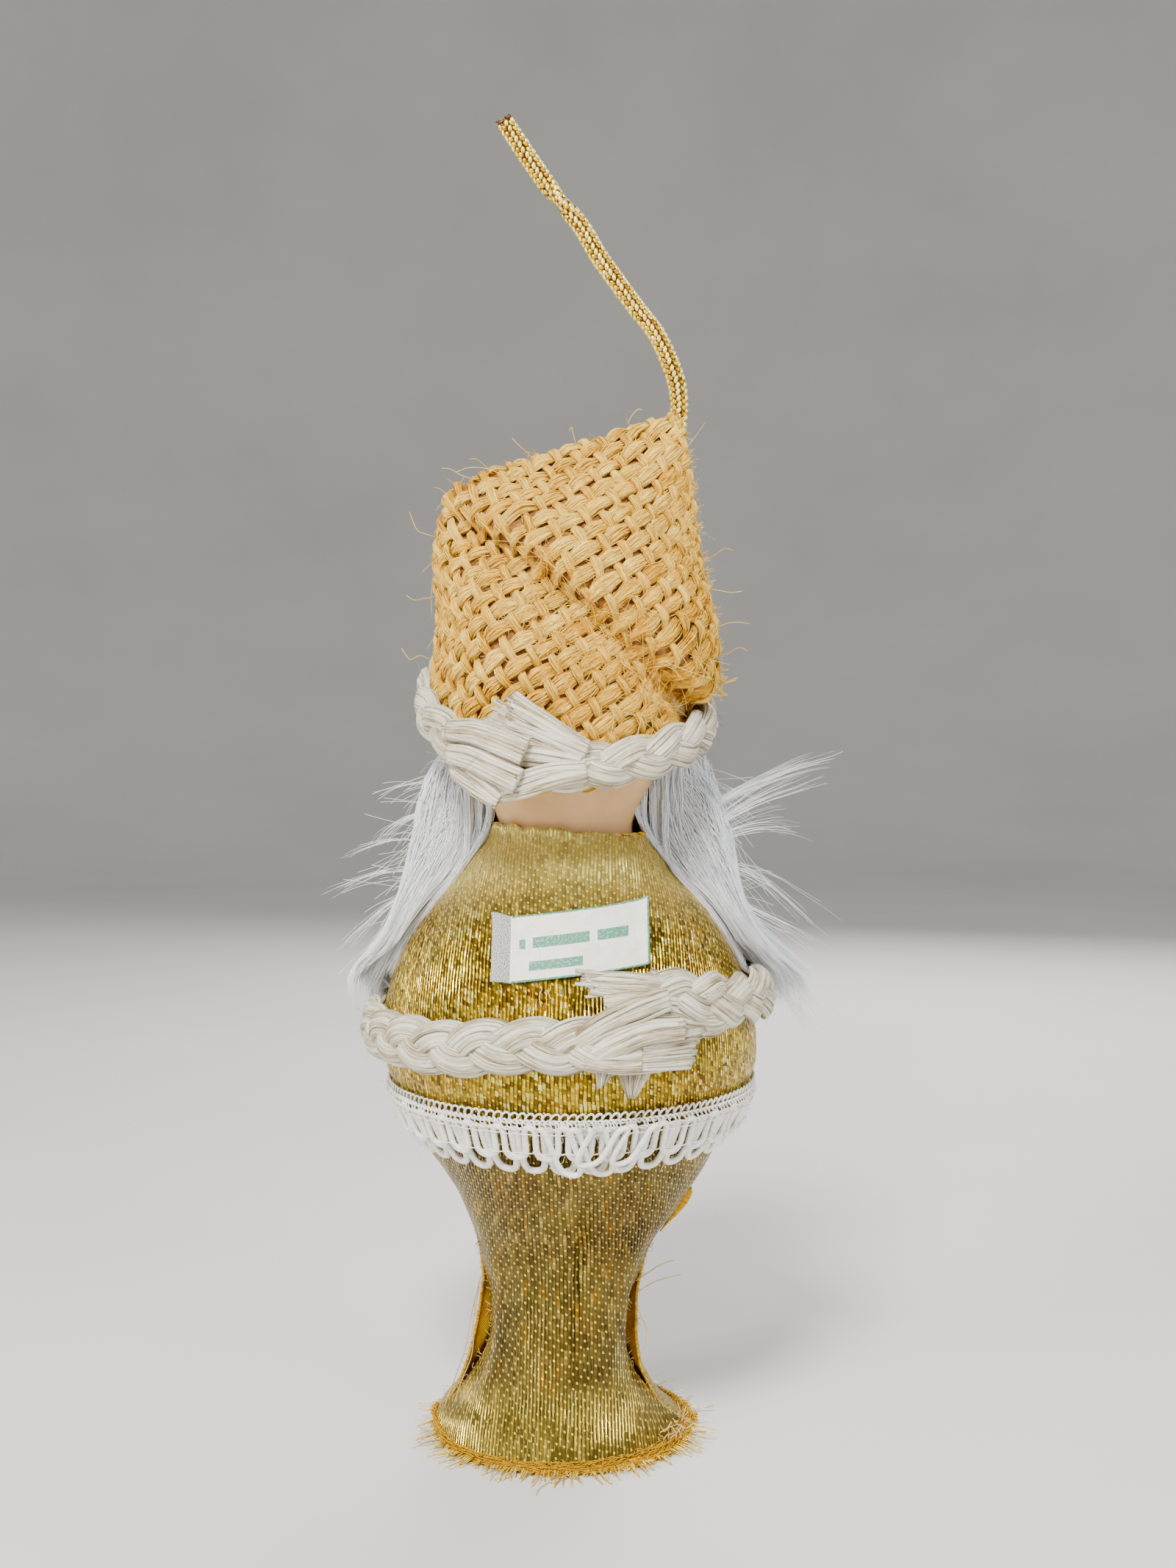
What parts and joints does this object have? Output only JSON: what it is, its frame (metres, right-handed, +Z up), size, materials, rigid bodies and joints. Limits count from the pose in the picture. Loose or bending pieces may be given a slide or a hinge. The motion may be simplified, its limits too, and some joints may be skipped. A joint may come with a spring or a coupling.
{
  "type": "gnome figurine",
  "caption": "Standing folk-craft gnome: metallic cloth robe, fur beard, flat-topped burlap hat, braided waist and hat bands, gimp trim and a stiff hanging cord.",
  "frame": {"origin": "centre of the base disc's underside, on the surface the figurine stands on", "axes": "+Z up, -Y the way the gnome faces, +X to the gnome's left hand side"},
  "size_m": [0.0854, 0.089, 0.2582],
  "materials": {
    "base_disc": "matt pressed board",
    "leg_post": "matt",
    "body_core": "matt foam",
    "robe_back_panel": "metallic gold woven lame on an orange backing",
    "robe_front_panel": "metallic gold woven lame on an orange backing",
    "head": "matt painted peach",
    "nose": "matt painted peach",
    "eye_left": "gloss bead",
    "eye_right": "gloss bead",
    "hat_band_braid": "satin raffia fibres",
    "hat_shell": "coarse matt burlap",
    "belt_braid": "satin raffia fibres",
    "skirt_gimp": "satin cord loops",
    "paper_label": "matt paper",
    "beard_backing": "matt knitted backing",
    "beard_fur": "soft long pile",
    "moustache_left": "soft long pile",
    "moustache_right": "soft long pile",
    "hanging_cord": "metallic braided thread"
  },
  "bodies": {
    "root": {"base_disc": "base_disc", "leg_post": "leg_post", "body_core": "body_core", "robe_back_panel": "robe_back_panel", "robe_front_panel": "robe_front_panel", "head": "head", "nose": "nose", "eye_left": "eye_left", "eye_right": "eye_right", "hat_band_braid": "hat_band_braid", "hat_shell": "hat_shell", "belt_braid": "belt_braid", "skirt_gimp": "skirt_gimp", "paper_label": "paper_label", "beard_backing": "beard_backing", "beard_fur": "beard_fur", "moustache_left": "moustache_left", "moustache_right": "moustache_right", "hanging_cord": "hanging_cord"}
  },
  "joints": []
}
